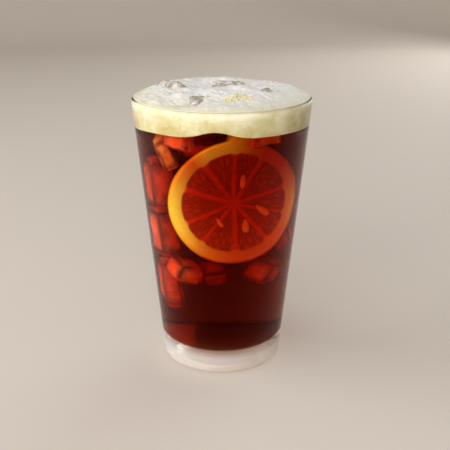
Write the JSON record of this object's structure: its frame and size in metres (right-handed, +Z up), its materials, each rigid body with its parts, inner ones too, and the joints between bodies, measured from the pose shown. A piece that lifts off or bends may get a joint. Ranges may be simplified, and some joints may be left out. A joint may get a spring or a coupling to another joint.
{
  "type": "glass of cold brew",
  "caption": "Tapered glass of dark cold brew with an upright lemon slice, ice cubes and a cream foam head heaped over the rim.",
  "frame": {"origin": "middle of the glass's foot, on the surface it stands on", "axes": "+Z up along the glass's axis, -Y towards the front, where the lemon slice faces, +X to the right seen from the front"},
  "size_m": [0.0888, 0.0888, 0.1455],
  "materials": {
    "clear_glass": "clear and polished",
    "coffee": "dark clear liquid",
    "foam": "fine cream foam",
    "lemon": "wet",
    "ice": "wet, melted edges"
  },
  "bodies": {
    "root": {"glass": "clear_glass", "cold_brew": "coffee", "foam": "foam", "lemon_slice": "lemon", "ice_left": "ice", "ice_front": "ice", "ice_middle": "ice", "ice_right": "ice"}
  },
  "joints": []
}
